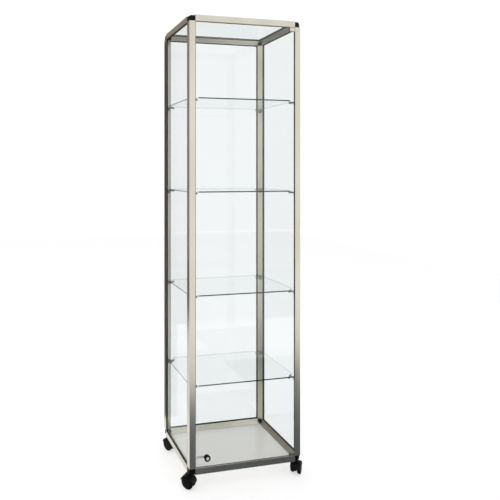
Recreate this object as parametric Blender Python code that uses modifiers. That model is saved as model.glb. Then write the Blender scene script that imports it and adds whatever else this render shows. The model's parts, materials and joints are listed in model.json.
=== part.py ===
"""A glazed display case on castors: aluminium corner-profile frame, plastic corner joints, glass panes,
four glass shelves on clips, a locking glass door on pivot hinges, and four twin-wheel castors.
Metres, +Z up, door towards -Y, origin on the floor under the middle of the case."""

import math
from itertools import product

import bmesh
import bpy
from mathutils import Matrix, Vector

# Overall sizes
FRAME_WIDTH = 0.495
FRAME_DEPTH = 0.300
POST_LENGTH = 1.800
FIT_GAP = 0.0003

# Extruded corner profile: a square with its inner corner cut away, and a glazing slot in each arm
PROFILE = 0.025
FLANGE = 0.009
CORNER_RADIUS = 0.0018
SLOT_LIP = 0.0017
SLOT_WIDTH = 0.0056
SLOT_DEPTH = 0.008
BORE_INSET = 0.0022
BORE_SIZE = 0.011
KEY_GROOVE_WIDTH = 0.003
KEY_GROOVE_DEPTH = 0.002

# Corner joints
JOINT_RADIUS = 0.012
SPIGOT_LENGTH = 0.012

# Glass
PANE_THICKNESS = 0.004
PANE_INSERT = 0.0065
BASE_THICKNESS = 0.005
SHELF_THICKNESS = 0.005
SHELF_SIDE_MARGIN = 0.010
SHELF_FRONT_MARGIN = 0.0085
SHELF_REAR_MARGIN = 0.010
SHELF_CORNER_CUT = 0.052
SHELF_HEIGHTS = (0.327, 0.691, 1.111, 1.492)

# Shelf clips
CLIP_FOOT_WIDTH = 0.010
CLIP_FOOT_HEIGHT = 0.016
CLIP_FOOT_THICKNESS = 0.0018
CLIP_ARM_WIDTH = 0.006
CLIP_ARM_THICKNESS = 0.007
CLIP_BAR_LENGTH = 0.034
CLIP_BAR_REACH = 0.020
CLIP_KEY_WIDTH = 0.0022

# Door
DOOR_THICKNESS = 0.005
DOOR_SETBACK = 0.001
DOOR_SIDE_GAP = 0.002
DOOR_END_GAP = 0.0025
PIVOT_FROM_EDGE = 0.007
HINGE_LENGTH = 0.022
HINGE_HEIGHT = 0.016
HINGE_THICKNESS = 0.0095
HINGE_WEB = 0.004
HINGE_ROUNDING = 0.001
PIVOT_PIN_RADIUS = 0.002
BUSH_DEPTH = 0.0065

# Lock in the door's lower corner
LOCK_FROM_SIDE = 0.077
LOCK_HEIGHT = 0.036
LOCK_BARREL_RADIUS = 0.0085
LOCK_BARREL_TAIL = 0.0048
LOCK_RING_RADIUS = 0.0135
LOCK_RING_THICKNESS = 0.0028
LOCK_NUT_RADIUS = 0.012
LOCK_NUT_THICKNESS = 0.003
LOCK_PLUG_RADIUS = 0.0062
LOCK_PLUG_PROUD = 0.0006
KEYWAY_WIDTH = 0.0014
KEYWAY_HEIGHT = 0.0064
KEYWAY_DEPTH = 0.004
CAM_THICKNESS = 0.0018
CAM_WIDTH = 0.009
CAM_HUB_RADIUS = 0.0065
CAM_SETBACK = 0.0135
CAM_CATCH = 0.0035
CAM_SCREW_RADIUS = 0.0042
CAM_SCREW_HEIGHT = 0.0022

# Castors
CASTOR_INSET = 0.0135
CASTOR_TRAIL = 0.012
WHEEL_RADIUS = 0.024
SWIVEL_HEADROOM = 0.012
WHEEL_WIDTH = 0.0125
WHEEL_SPACING = 0.026
AXLE_RADIUS = 0.003
HOOD_CLEARANCE = 0.0015
HOOD_SHELL = 0.0022
HOOD_WIDTH = 0.039
WEB_THICKNESS = 0.011
RUNNING_GAP = 0.0004
STEM_RADIUS = 0.004
STEM_LENGTH = 0.014
COLLAR_RADIUS = 0.008
HUB_RADIUS = 0.0085
WHEEL_EDGE = 0.0025
HUB_CAP_RADIUS = 0.0095
HUB_CAP_SINK = 0.0008
CASTOR_HEADINGS = {
    "front_left": 129,
    "front_right": 45,
    "rear_left": 292,
    "rear_right": 248,
}

WEB_ARC = (-12, 192, 18)
WEB_NOTCH_ARC = (205, 335, 8)
CANOPY_ARC = (8, 172)
CANOPY_STEPS = 16

ROUND_STEPS = 24
FILLET_STEPS = 4
AXLE_HOLE_STEPS = 11
CAM_HUB_STEPS = 14
WELD_DISTANCE = 1e-6
SHARP_ANGLE = 35

# Derived places
CASTOR_HEIGHT = 2 * WHEEL_RADIUS + SWIVEL_HEADROOM
HALF_WIDTH = FRAME_WIDTH / 2
HALF_DEPTH = FRAME_DEPTH / 2
BASE_Z = CASTOR_HEIGHT
POST_FOOT = BASE_Z + PROFILE
POST_HEAD = POST_FOOT + POST_LENGTH
TOP_Z = POST_HEAD + PROFILE
SLOT_MIDDLE = SLOT_LIP + SLOT_WIDTH / 2
CHAMFER_SUM = PROFILE + FLANGE
DOOR_FRONT = -HALF_DEPTH + DOOR_SETBACK
DOOR_MIDDLE = DOOR_FRONT + DOOR_THICKNESS / 2
DOOR_BACK = DOOR_FRONT + DOOR_THICKNESS
DOOR_RIGHT = HALF_WIDTH - PROFILE - DOOR_SIDE_GAP
DOOR_LEFT = -DOOR_RIGHT
DOOR_BOTTOM = POST_FOOT + DOOR_END_GAP
DOOR_TOP = POST_HEAD - DOOR_END_GAP
PIVOT_X = DOOR_RIGHT - PIVOT_FROM_EDGE
LOCK_X = -HALF_WIDTH + LOCK_FROM_SIDE
LOCK_Z = POST_FOOT + LOCK_HEIGHT
CAM_FRONT = -HALF_DEPTH + CAM_SETBACK
CAM_LENGTH = LOCK_HEIGHT + CAM_CATCH
AXLE_HEIGHT = WHEEL_RADIUS

X = Vector((1, 0, 0))
Y = Vector((0, 1, 0))
Z = Vector((0, 0, 1))

COLOURS = {
    "aluminium": ((0.60, 0.57, 0.50), 0.32, 1.0),
    "glass": ((0.80, 0.90, 0.86), 0.03, 0.0),
    "laminate": ((0.60, 0.60, 0.57), 0.35, 0.0),
    "black_plastic": ((0.012, 0.012, 0.013), 0.45, 0.0),
    "black_nylon": ((0.014, 0.014, 0.015), 0.50, 0.0),
    "chrome": ((0.75, 0.75, 0.76), 0.12, 1.0),
    "clear_plastic": ((0.70, 0.74, 0.72), 0.20, 0.0),
}


def clear_scene():
    for thing in list(bpy.data.objects):
        bpy.data.objects.remove(thing, do_unlink=True)


def make_collection(name):
    group = bpy.data.collections.new(name)
    bpy.context.scene.collection.children.link(group)
    return group


def make_material(name):
    colour, roughness, metallic = COLOURS[name]
    material = bpy.data.materials.new(name)
    material.use_nodes = True
    shader = material.node_tree.nodes["Principled BSDF"]
    shader.inputs["Base Color"].default_value = (*colour, 1.0)
    shader.inputs["Roughness"].default_value = roughness
    shader.inputs["Metallic"].default_value = metallic
    return material


clear_scene()
PARTS = make_collection("display_case")
CUTTERS = make_collection("cutters")
MATERIALS = {name: make_material(name) for name in COLOURS}


def add_part(name, mesh, material, matrix=None):
    """Puts a mesh in the parts collection as a named sub-part."""
    part = bpy.data.objects.new(name, mesh)
    part.matrix_world = matrix or Matrix.Identity(4)
    if not mesh.materials:
        mesh.materials.append(MATERIALS[material])
    PARTS.objects.link(part)
    return part


def frame_matrix(first, second, third, place):
    """A placing whose local X, Y and Z run along the three given directions."""
    turn = Matrix((first, second, third)).transposed().to_4x4()
    turn.translation = place
    return turn


def close_mesh(mesh):
    """Welds the seams of a converted shape and turns its faces outwards."""
    bm = bmesh.new()
    bm.from_mesh(mesh)
    bmesh.ops.remove_doubles(bm, verts=bm.verts, dist=WELD_DISTANCE)
    bmesh.ops.recalc_face_normals(bm, faces=bm.faces)
    bm.to_mesh(mesh)
    bm.free()


def outline_mesh(name, outlines, thickness):
    """A flat shape from closed outlines (holes included), centred on local Z = 0, as a welded mesh."""
    curve = bpy.data.curves.new(name, "CURVE")
    curve.dimensions = "2D"
    curve.fill_mode = "BOTH"
    curve.extrude = thickness / 2
    for points in outlines:
        spline = curve.splines.new("POLY")
        spline.points.add(len(points) - 1)
        for point, (x, y) in zip(spline.points, points):
            point.co = (x, y, 0, 1)
        spline.use_cyclic_u = True
    shape = bpy.data.objects.new(name, curve)
    PARTS.objects.link(shape)
    depsgraph = bpy.context.evaluated_depsgraph_get()
    mesh = bpy.data.meshes.new_from_object(shape.evaluated_get(depsgraph))
    bpy.data.objects.remove(shape, do_unlink=True)
    close_mesh(mesh)
    mesh.materials.clear()
    mesh.name = name
    return mesh


def box_mesh(name, low, high, round_edges=None, radius=0.0, steps=FILLET_STEPS):
    """A box between two corners; the edges that round_edges accepts are filleted."""
    low = Vector(low)
    high = Vector(high)
    bm = bmesh.new()
    bmesh.ops.create_cube(bm, size=1.0)
    bmesh.ops.scale(bm, vec=high - low, verts=bm.verts)
    bmesh.ops.translate(bm, vec=(low + high) / 2, verts=bm.verts)
    if round_edges:
        edges = [edge for edge in bm.edges if round_edges(edge)]
        bmesh.ops.bevel(
            bm, geom=edges, offset=radius, segments=steps, profile=0.5, affect="EDGES"
        )
    mesh = bpy.data.meshes.new(name)
    bm.to_mesh(mesh)
    bm.free()
    return mesh


def rod_mesh(name, radius, start, end, steps=ROUND_STEPS):
    """A round bar between two points."""
    start = Vector(start)
    run = Vector(end) - start
    bm = bmesh.new()
    bmesh.ops.create_cone(
        bm,
        cap_ends=True,
        segments=steps,
        radius1=radius,
        radius2=radius,
        depth=run.length,
    )
    turn = run.to_track_quat("Z", "Y").to_matrix().to_4x4()
    bmesh.ops.transform(
        bm, matrix=Matrix.Translation(start + run / 2) @ turn, verts=bm.verts
    )
    mesh = bpy.data.meshes.new(name)
    bm.to_mesh(mesh)
    bm.free()
    return mesh


def turned_mesh(name, profile, ring=False, steps=ROUND_STEPS):
    """A profile of (radius, height) points, top to bottom, turned about local Z; a ring's profile closes."""
    mesh = bpy.data.meshes.new(name + "_profile")
    points = [(radius, 0, height) for radius, height in profile]
    edges = [(i, i + 1) for i in range(len(points) - 1)]
    if ring:
        edges.append((len(points) - 1, 0))
    mesh.from_pydata(points, edges, [])
    shape = bpy.data.objects.new(name, mesh)
    PARTS.objects.link(shape)
    screw = shape.modifiers.new("turn", "SCREW")
    screw.axis = "Z"
    screw.steps = steps
    screw.render_steps = steps
    screw.use_merge_vertices = True
    screw.merge_threshold = WELD_DISTANCE
    depsgraph = bpy.context.evaluated_depsgraph_get()
    turned = bpy.data.meshes.new_from_object(shape.evaluated_get(depsgraph))
    bpy.data.objects.remove(shape, do_unlink=True)
    turned.name = name
    close_mesh(turned)
    return turned


def combine(name, base, tools):
    """Joins ("UNION") or cuts ("DIFFERENCE") a base mesh with tool meshes and returns the result."""
    shape = bpy.data.objects.new(name, base)
    PARTS.objects.link(shape)
    cutters = []
    for operation, tool in tools:
        cutter = bpy.data.objects.new(tool.name, tool)
        cutter.hide_render = True
        cutter.display_type = "WIRE"
        CUTTERS.objects.link(cutter)
        cutters.append(cutter)
        step = shape.modifiers.new(tool.name, "BOOLEAN")
        step.operation = operation
        step.solver = "EXACT"
        step.object = cutter
    depsgraph = bpy.context.evaluated_depsgraph_get()
    result = bpy.data.meshes.new_from_object(shape.evaluated_get(depsgraph))
    for thing in [shape, *cutters]:
        bpy.data.objects.remove(thing, do_unlink=True)
    result.name = name
    return result


def arc(centre, radius, start, end, steps):
    """Points along an arc, angles in degrees."""
    for i in range(steps + 1):
        angle = math.radians(start + (end - start) * i / steps)
        yield (
            centre[0] + radius * math.cos(angle),
            centre[1] + radius * math.sin(angle),
        )


def profile_outlines(slot_first, slot_second):
    """The extrusion's section: outer corner at the origin, arms along local X and Y, and a square bore."""
    r = CORNER_RADIUS
    slot_floor = PROFILE - SLOT_DEPTH
    slot_end = SLOT_LIP + SLOT_WIDTH
    outer = list(arc((r, r), r, 180, 270, FILLET_STEPS))
    outer.append((PROFILE, 0))
    if slot_first:
        outer += [(PROFILE, SLOT_LIP), (slot_floor, SLOT_LIP)]
        outer += [(slot_floor, slot_end), (PROFILE, slot_end)]
    outer.append((PROFILE, FLANGE))
    middle = CHAMFER_SUM / 2
    side = KEY_GROOVE_WIDTH / 2 / math.sqrt(2)
    sink = KEY_GROOVE_DEPTH / math.sqrt(2)
    outer.append((middle + side, middle - side))
    outer.append((middle + side - sink, middle - side - sink))
    outer.append((middle - side - sink, middle + side - sink))
    outer.append((middle - side, middle + side))
    outer.append((FLANGE, PROFILE))
    if slot_second:
        outer += [(slot_end, PROFILE), (slot_end, slot_floor)]
        outer += [(SLOT_LIP, slot_floor), (SLOT_LIP, PROFILE)]
    outer.append((0, PROFILE))
    low = BORE_INSET
    high = BORE_INSET + BORE_SIZE
    bore = [(low, low), (low, high), (high, high), (high, low)]
    return [outer, bore]


def add_extrusion(name, corner, arms, length, cuts=()):
    """A length of profile: its outer corner at mid-length, and two arms as (direction, has a slot)."""
    (first, first_slot), (second, second_slot) = arms
    mesh = outline_mesh(name, profile_outlines(first_slot, second_slot), length)
    matrix = frame_matrix(first, second, first.cross(second), corner)
    if cuts:
        mesh.transform(matrix)
        mesh = combine(name, mesh, [("DIFFERENCE", cut) for cut in cuts])
        matrix = None
    return add_part(name, mesh, "aluminium", matrix)


def build_posts():
    middle = (POST_FOOT + POST_HEAD) / 2
    length = POST_LENGTH - 2 * FIT_GAP
    corners = {
        "front_left": ((-1, -1), (X, False), (Y, True)),
        "front_right": ((1, -1), (Y, True), (-X, False)),
        "rear_right": ((1, 1), (-X, True), (-Y, True)),
        "rear_left": ((-1, 1), (-Y, True), (X, True)),
    }
    for name, ((side, end), first, second) in corners.items():
        corner = (side * HALF_WIDTH, end * HALF_DEPTH, middle)
        add_extrusion("post_" + name, corner, (first, second), length)


def build_rails():
    long_run = FRAME_WIDTH - 2 * PROFILE - 2 * FIT_GAP
    short_run = FRAME_DEPTH - 2 * PROFILE - 2 * FIT_GAP
    for level, height, inward in (("bottom", BASE_Z, Z), ("top", TOP_Z, -Z)):
        bush = pivot_bush_cutter(height + inward.z * (PROFILE - BUSH_DEPTH), inward)
        runs = {
            "left": ((-HALF_WIDTH, 0, height), (inward, True), (X, True), short_run, ()),
            "right": ((HALF_WIDTH, 0, height), (-X, True), (inward, True), short_run, ()),
            "front": ((0, -HALF_DEPTH, height), (Y, True), (inward, False), long_run, (bush,)),
            "rear": ((0, HALF_DEPTH, height), (inward, True), (-Y, True), long_run, ()),
        }
        for side, (corner, first, second, length, cuts) in runs.items():
            name = f"rail_{level}_{side}"
            add_extrusion(name, corner, (first, second), length, cuts)


def pivot_bush_cutter(height, inward):
    """The hole in a front rail's flange that a hinge's pivot pin turns in."""
    radius = PIVOT_PIN_RADIUS + RUNNING_GAP
    start = Vector((PIVOT_X, DOOR_MIDDLE, height))
    end = start + inward * (BUSH_DEPTH + PROFILE)
    return rod_mesh("pivot_bush_cutter", radius, start, end)


def corner_joint_mesh(stem_bore):
    """A block in the octant of positive X, Y and Z, ball-shaped outside, with a spigot into each arm."""

    def at_outer_corner(edge):
        return any(vert.co.length < WELD_DISTANCE for vert in edge.verts)

    body = box_mesh(
        "corner_joint",
        (0, 0, 0),
        (PROFILE, PROFILE, PROFILE),
        at_outer_corner,
        JOINT_RADIUS,
        6,
    )
    low = BORE_INSET + FIT_GAP
    high = BORE_INSET + BORE_SIZE - FIT_GAP
    tip = PROFILE + SPIGOT_LENGTH
    root = PROFILE - JOINT_RADIUS / 2
    tools = []
    for direction in range(3):
        start = [low, low, low]
        end = [high, high, high]
        start[direction] = root
        end[direction] = tip
        tools.append(("UNION", box_mesh(f"spigot_{direction}", start, end)))
    if stem_bore:
        foot = (CASTOR_INSET, CASTOR_INSET, -JOINT_RADIUS)
        head = (CASTOR_INSET, CASTOR_INSET, STEM_LENGTH + 2 * FIT_GAP)
        bore = rod_mesh("stem_bore", STEM_RADIUS + RUNNING_GAP, foot, head)
        tools.append(("DIFFERENCE", bore))
    return combine("corner_joint", body, tools)


def octant_matrix(side, end, level):
    """The turn that carries the positive octant to the one with these signs, at the case's corner."""
    if side * end * level > 0:
        first, second = Vector((side, 0, 0)), Vector((0, end, 0))
    else:
        first, second = Vector((0, end, 0)), Vector((side, 0, 0))
    height = BASE_Z if level > 0 else TOP_Z
    place = (-side * HALF_WIDTH, -end * HALF_DEPTH, height)
    return frame_matrix(first, second, Vector((0, 0, level)), place)


def build_corner_joints():
    for level_name, level in (("bottom", 1), ("top", -1)):
        mesh = corner_joint_mesh(stem_bore=level > 0)
        for (end_name, end), (side_name, side) in product(
            (("front", 1), ("rear", -1)), (("left", 1), ("right", -1))
        ):
            name = f"corner_joint_{level_name}_{end_name}_{side_name}"
            add_part(name, mesh, "black_plastic", octant_matrix(side, end, level))


def cut_corner_outline(half_x, half_y, cut):
    """A rectangle with its four corners cut at 45 degrees."""
    return [
        (-half_x + cut, -half_y),
        (half_x - cut, -half_y),
        (half_x, -half_y + cut),
        (half_x, half_y - cut),
        (half_x - cut, half_y),
        (-half_x + cut, half_y),
        (-half_x, half_y - cut),
        (-half_x, -half_y + cut),
    ]


def add_pane(name, across, along, place, half_across, half_along, thickness, material):
    """A flat pane that enters the slots round it, with corners cut clear of the corner joints."""
    cut = 2 * PANE_INSERT + 2 * FIT_GAP
    half_a = half_across - PROFILE + PANE_INSERT
    half_b = half_along - PROFILE + PANE_INSERT
    mesh = outline_mesh(name, [cut_corner_outline(half_a, half_b, cut)], thickness)
    matrix = frame_matrix(across, along, across.cross(along), place)
    add_part(name, mesh, material, matrix)


def build_panes():
    middle = (BASE_Z + TOP_Z) / 2
    half_height = (TOP_Z - BASE_Z) / 2
    side_x = HALF_WIDTH - SLOT_MIDDLE
    back_y = HALF_DEPTH - SLOT_MIDDLE
    left = (-side_x, 0, middle)
    right = (side_x, 0, middle)
    back = (0, back_y, middle)
    add_pane("glass_left", Y, Z, left, HALF_DEPTH, half_height, PANE_THICKNESS, "glass")
    add_pane("glass_right", Y, Z, right, HALF_DEPTH, half_height, PANE_THICKNESS, "glass")
    add_pane("glass_back", X, Z, back, HALF_WIDTH, half_height, PANE_THICKNESS, "glass")
    top = (0, 0, TOP_Z - SLOT_MIDDLE)
    add_pane("glass_top", X, Y, top, HALF_WIDTH, HALF_DEPTH, PANE_THICKNESS, "glass")
    base = (0, 0, BASE_Z + SLOT_MIDDLE)
    add_pane("base_panel", X, Y, base, HALF_WIDTH, HALF_DEPTH, BASE_THICKNESS, "laminate")


def build_shelves():
    """Glass shelves with corners cut parallel to the posts' inner faces, each on four clips."""
    left = -HALF_WIDTH + SHELF_SIDE_MARGIN
    right = HALF_WIDTH - SHELF_SIDE_MARGIN
    front = -HALF_DEPTH + SHELF_FRONT_MARGIN
    rear = HALF_DEPTH - SHELF_REAR_MARGIN
    side_cut = SHELF_CORNER_CUT - SHELF_SIDE_MARGIN
    front_cut = SHELF_CORNER_CUT - SHELF_FRONT_MARGIN
    rear_cut = SHELF_CORNER_CUT - SHELF_REAR_MARGIN
    outline = [
        (-HALF_WIDTH + front_cut, front),
        (HALF_WIDTH - front_cut, front),
        (right, -HALF_DEPTH + side_cut),
        (right, HALF_DEPTH - side_cut),
        (HALF_WIDTH - rear_cut, rear),
        (-HALF_WIDTH + rear_cut, rear),
        (left, HALF_DEPTH - side_cut),
        (left, -HALF_DEPTH + side_cut),
    ]
    shelf = outline_mesh("shelf", [outline], SHELF_THICKNESS)
    clip = clip_mesh()
    for number, height in enumerate(SHELF_HEIGHTS, 1):
        level = POST_FOOT + height
        add_part(f"shelf_{number}", shelf, "glass", Matrix.Translation((0, 0, level)))
        seat = level - SHELF_THICKNESS / 2 - FIT_GAP
        for (end_name, end), (side_name, side) in product(
            (("front", 1), ("rear", -1)), (("left", 1), ("right", -1))
        ):
            inward = Vector((side, end, 0)).normalized()
            place = Vector((-side * HALF_WIDTH, -end * HALF_DEPTH, seat))
            matrix = frame_matrix(inward, Z.cross(inward), Z, place)
            add_part(f"clip_{number}_{end_name}_{side_name}", clip, "clear_plastic", matrix)


def clip_mesh():
    """A shelf clip: local X runs inward from the post's outer corner, local Z = 0 is the shelf's seat."""
    face = CHAMFER_SUM / math.sqrt(2)
    start = face + FIT_GAP
    foot_end = start + CLIP_FOOT_THICKNESS
    bar_end = start + CLIP_BAR_REACH
    half_foot = CLIP_FOOT_WIDTH / 2
    half_arm = CLIP_ARM_WIDTH / 2
    half_bar = CLIP_BAR_LENGTH / 2
    foot = box_mesh(
        "clip_foot", (start, -half_foot, -CLIP_FOOT_HEIGHT), (foot_end, half_foot, 0)
    )
    arm = box_mesh(
        "clip_arm",
        (foot_end - CLIP_FOOT_THICKNESS / 2, -half_arm, -CLIP_ARM_THICKNESS),
        (bar_end - half_arm, half_arm, 0),
    )
    bar = box_mesh(
        "clip_bar",
        (bar_end - CLIP_ARM_WIDTH, -half_bar, -CLIP_ARM_THICKNESS),
        (bar_end, half_bar, 0),
        lambda edge: abs(edge.verts[0].co.z - edge.verts[1].co.z) > CLIP_ARM_THICKNESS / 2,
        CLIP_ARM_WIDTH / 3,
    )
    half_key = CLIP_KEY_WIDTH / 2
    key = box_mesh(
        "clip_key",
        (face - KEY_GROOVE_DEPTH + FIT_GAP, -half_key, -CLIP_FOOT_HEIGHT + FIT_GAP),
        (foot_end - CLIP_FOOT_THICKNESS / 2, half_key, -FIT_GAP),
    )
    return combine("clip", foot, [("UNION", arm), ("UNION", bar), ("UNION", key)])


def shade_round(mesh, angle=SHARP_ANGLE):
    """Smooth shading with the sharp edges kept."""
    mesh.shade_smooth()
    mesh.set_sharp_from_angle(angle=math.radians(angle))


def end_span(edge, inward, outside, inside):
    """The low and high heights of a cut that starts outside a door edge and runs inside it."""
    ends = (edge - inward * outside, edge + inward * inside)
    return min(ends), max(ends)


def hinge_mesh(edge, inward):
    """A pivot hinge: a grooved clamp on the glass's corner and a pin that turns in the rail's flange."""
    left = DOOR_RIGHT - HINGE_LENGTH
    low, high = end_span(edge, inward, 0, HINGE_HEIGHT)
    half = HINGE_THICKNESS / 2
    clamp = box_mesh(
        "hinge_clamp",
        (left, DOOR_MIDDLE - half, low),
        (DOOR_RIGHT, DOOR_MIDDLE + half, high),
        lambda edge: True,
        HINGE_ROUNDING,
        2,
    )
    low, high = end_span(edge + inward * HINGE_WEB, inward, 0, HINGE_HEIGHT)
    half = DOOR_THICKNESS / 2 + FIT_GAP
    groove = box_mesh(
        "hinge_groove",
        (left - HINGE_LENGTH, DOOR_MIDDLE - half, low),
        (DOOR_RIGHT + HINGE_LENGTH, DOOR_MIDDLE + half, high),
    )
    tip = edge - inward * (DOOR_END_GAP + BUSH_DEPTH - 2 * FIT_GAP)
    pin = rod_mesh(
        "pivot_pin",
        PIVOT_PIN_RADIUS,
        (PIVOT_X, DOOR_MIDDLE, edge + inward * HINGE_WEB / 2),
        (PIVOT_X, DOOR_MIDDLE, tip),
    )
    mesh = combine("door_hinge", clamp, [("DIFFERENCE", groove), ("UNION", pin)])
    shade_round(mesh)
    return mesh


def hinge_notch(edge, inward):
    """The step in the glass's corner that clears the hinge's web."""
    low, high = end_span(edge, inward, HINGE_HEIGHT, HINGE_WEB + FIT_GAP)
    return box_mesh(
        "hinge_notch",
        (DOOR_RIGHT - HINGE_LENGTH - FIT_GAP, DOOR_FRONT - DOOR_THICKNESS, low),
        (DOOR_RIGHT + HINGE_LENGTH, DOOR_BACK + DOOR_THICKNESS, high),
    )


def build_door():
    pane = box_mesh(
        "door_pane", (DOOR_LEFT, DOOR_FRONT, DOOR_BOTTOM), (DOOR_RIGHT, DOOR_BACK, DOOR_TOP)
    )
    hole = rod_mesh(
        "lock_hole",
        LOCK_BARREL_RADIUS + FIT_GAP,
        (LOCK_X, DOOR_FRONT - DOOR_THICKNESS, LOCK_Z),
        (LOCK_X, DOOR_BACK + DOOR_THICKNESS, LOCK_Z),
    )
    tools = [("DIFFERENCE", hole)]
    for level, edge, inward in (("bottom", DOOR_BOTTOM, 1), ("top", DOOR_TOP, -1)):
        tools.append(("DIFFERENCE", hinge_notch(edge, inward)))
        add_part(f"door_hinge_{level}", hinge_mesh(edge, inward), "chrome")
    add_part("door_glass", combine("door_glass", pane, tools), "glass")


def lock_matrix(place_y):
    """Local Z points out of the door, towards -Y, and local X along +X."""
    return frame_matrix(X, Z, -Y, (LOCK_X, place_y, LOCK_Z))


def build_lock():
    """A cam lock clamped in a hole in the glass: ring and barrel, nut, turning plug, and its cam."""
    bore = LOCK_PLUG_RADIUS + RUNNING_GAP
    tail = -DOOR_THICKNESS - LOCK_BARREL_TAIL
    edge = LOCK_RING_THICKNESS / 3
    ring = [
        (bore, LOCK_RING_THICKNESS),
        (LOCK_RING_RADIUS - edge, LOCK_RING_THICKNESS),
        (LOCK_RING_RADIUS, LOCK_RING_THICKNESS - edge),
        (LOCK_RING_RADIUS, FIT_GAP),
        (LOCK_BARREL_RADIUS, FIT_GAP),
        (LOCK_BARREL_RADIUS, tail),
        (bore, tail),
    ]
    body = turned_mesh("lock_body", ring, ring=True)
    shade_round(body)
    add_part("lock_body", body, "black_plastic", lock_matrix(DOOR_FRONT))

    nut_top = -DOOR_THICKNESS - FIT_GAP
    nut_inner = LOCK_BARREL_RADIUS + FIT_GAP
    nut = [
        (nut_inner, nut_top),
        (LOCK_NUT_RADIUS, nut_top),
        (LOCK_NUT_RADIUS, nut_top - LOCK_NUT_THICKNESS),
        (nut_inner, nut_top - LOCK_NUT_THICKNESS),
    ]
    nut_mesh = turned_mesh("lock_nut", nut, ring=True)
    shade_round(nut_mesh)
    add_part("lock_nut", nut_mesh, "black_plastic", lock_matrix(DOOR_FRONT))

    face = LOCK_RING_THICKNESS + LOCK_PLUG_PROUD
    foot = DOOR_FRONT - CAM_FRONT + FIT_GAP
    plug = turned_mesh(
        "lock_plug_blank",
        [(0, face), (LOCK_PLUG_RADIUS, face), (LOCK_PLUG_RADIUS, foot), (0, foot)],
    )
    keyway = box_mesh(
        "keyway",
        (-KEYWAY_WIDTH / 2, -KEYWAY_HEIGHT / 2, face - KEYWAY_DEPTH),
        (KEYWAY_WIDTH / 2, KEYWAY_HEIGHT / 2, face + KEYWAY_DEPTH),
    )
    plug = combine("lock_plug", plug, [("DIFFERENCE", keyway)])
    shade_round(plug)
    add_part("lock_plug", plug, "chrome", lock_matrix(DOOR_FRONT))

    half = CAM_WIDTH / 2
    shoulder = math.degrees(math.asin(half / CAM_HUB_RADIUS))
    corner = CAM_WIDTH / 6
    outline = list(arc((0, 0), CAM_HUB_RADIUS, shoulder, 360 - shoulder, CAM_HUB_STEPS))
    outline += arc((CAM_LENGTH - corner, corner - half), corner, 270, 360, FILLET_STEPS)
    outline += arc((CAM_LENGTH - corner, half - corner), corner, 0, 90, FILLET_STEPS)
    strip = outline_mesh("cam_strip", [outline], CAM_THICKNESS)
    head = rod_mesh(
        "cam_screw", CAM_SCREW_RADIUS, (0, 0, 0), (0, 0, CAM_THICKNESS / 2 + CAM_SCREW_HEIGHT)
    )
    cam = combine("lock_cam", strip, [("UNION", head)])
    shade_round(cam)
    middle = (LOCK_X, CAM_FRONT + CAM_THICKNESS / 2, LOCK_Z)
    add_part("lock_cam", cam, "chrome", frame_matrix(-X, Z, Y, middle))


def castor_hood_mesh():
    """Fork and hood of a twin-wheel castor: local X is the trail, Z up, floor at 0 under the swivel."""
    axle = (CASTOR_TRAIL, AXLE_HEIGHT)
    inner = WHEEL_RADIUS + HOOD_CLEARANCE
    outer = inner + HOOD_SHELL
    web = list(arc(axle, (inner + outer) / 2, *WEB_ARC))
    web += arc(axle, HUB_RADIUS, *WEB_NOTCH_ARC)
    hole = list(arc(axle, AXLE_RADIUS + RUNNING_GAP, 360, 360 / (AXLE_HOLE_STEPS + 1), AXLE_HOLE_STEPS))
    canopy_start, canopy_stop = CANOPY_ARC
    canopy = list(arc(axle, outer, canopy_start, canopy_stop, CANOPY_STEPS))
    canopy += arc(axle, inner, canopy_stop, canopy_start, CANOPY_STEPS)
    upright = frame_matrix(X, Z, -Y, (0, 0, 0))
    web_mesh = outline_mesh("castor_web", [web, hole], WEB_THICKNESS)
    web_mesh.transform(upright)
    canopy_mesh = outline_mesh("castor_canopy", [canopy], HOOD_WIDTH)
    canopy_mesh.transform(upright)
    wheel_top = AXLE_HEIGHT + WHEEL_RADIUS
    collar_top = CASTOR_HEIGHT - FIT_GAP
    collar = rod_mesh(
        "castor_collar", COLLAR_RADIUS, (0, 0, wheel_top + RUNNING_GAP), (0, 0, collar_top)
    )
    stem = rod_mesh(
        "castor_stem", STEM_RADIUS, (0, 0, wheel_top + HOOD_SHELL), (0, 0, CASTOR_HEIGHT + STEM_LENGTH)
    )
    tools = [("UNION", canopy_mesh), ("UNION", collar), ("UNION", stem)]
    mesh = combine("castor_hood", web_mesh, tools)
    shade_round(mesh)
    return mesh


def castor_wheels_mesh():
    """Both wheels and their axle as one turned body, local Z along the axle."""
    outer = (WHEEL_SPACING + WHEEL_WIDTH) / 2
    inner = (WHEEL_SPACING - WHEEL_WIDTH) / 2
    shoulder = WHEEL_EDGE * (1 - math.sqrt(0.5))
    half = [
        (0, outer - HUB_CAP_SINK),
        (HUB_CAP_RADIUS, outer - HUB_CAP_SINK),
        (HUB_CAP_RADIUS + HUB_CAP_SINK, outer),
        (WHEEL_RADIUS - WHEEL_EDGE, outer),
        (WHEEL_RADIUS - shoulder, outer - shoulder),
        (WHEEL_RADIUS, outer - WHEEL_EDGE),
        (WHEEL_RADIUS, inner + WHEEL_EDGE),
        (WHEEL_RADIUS - shoulder, inner + shoulder),
        (WHEEL_RADIUS - WHEEL_EDGE, inner),
        (AXLE_RADIUS, inner),
    ]
    profile = half + [(radius, -height) for radius, height in reversed(half)]
    mesh = turned_mesh("castor_wheels", profile)
    shade_round(mesh)
    return mesh


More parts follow.
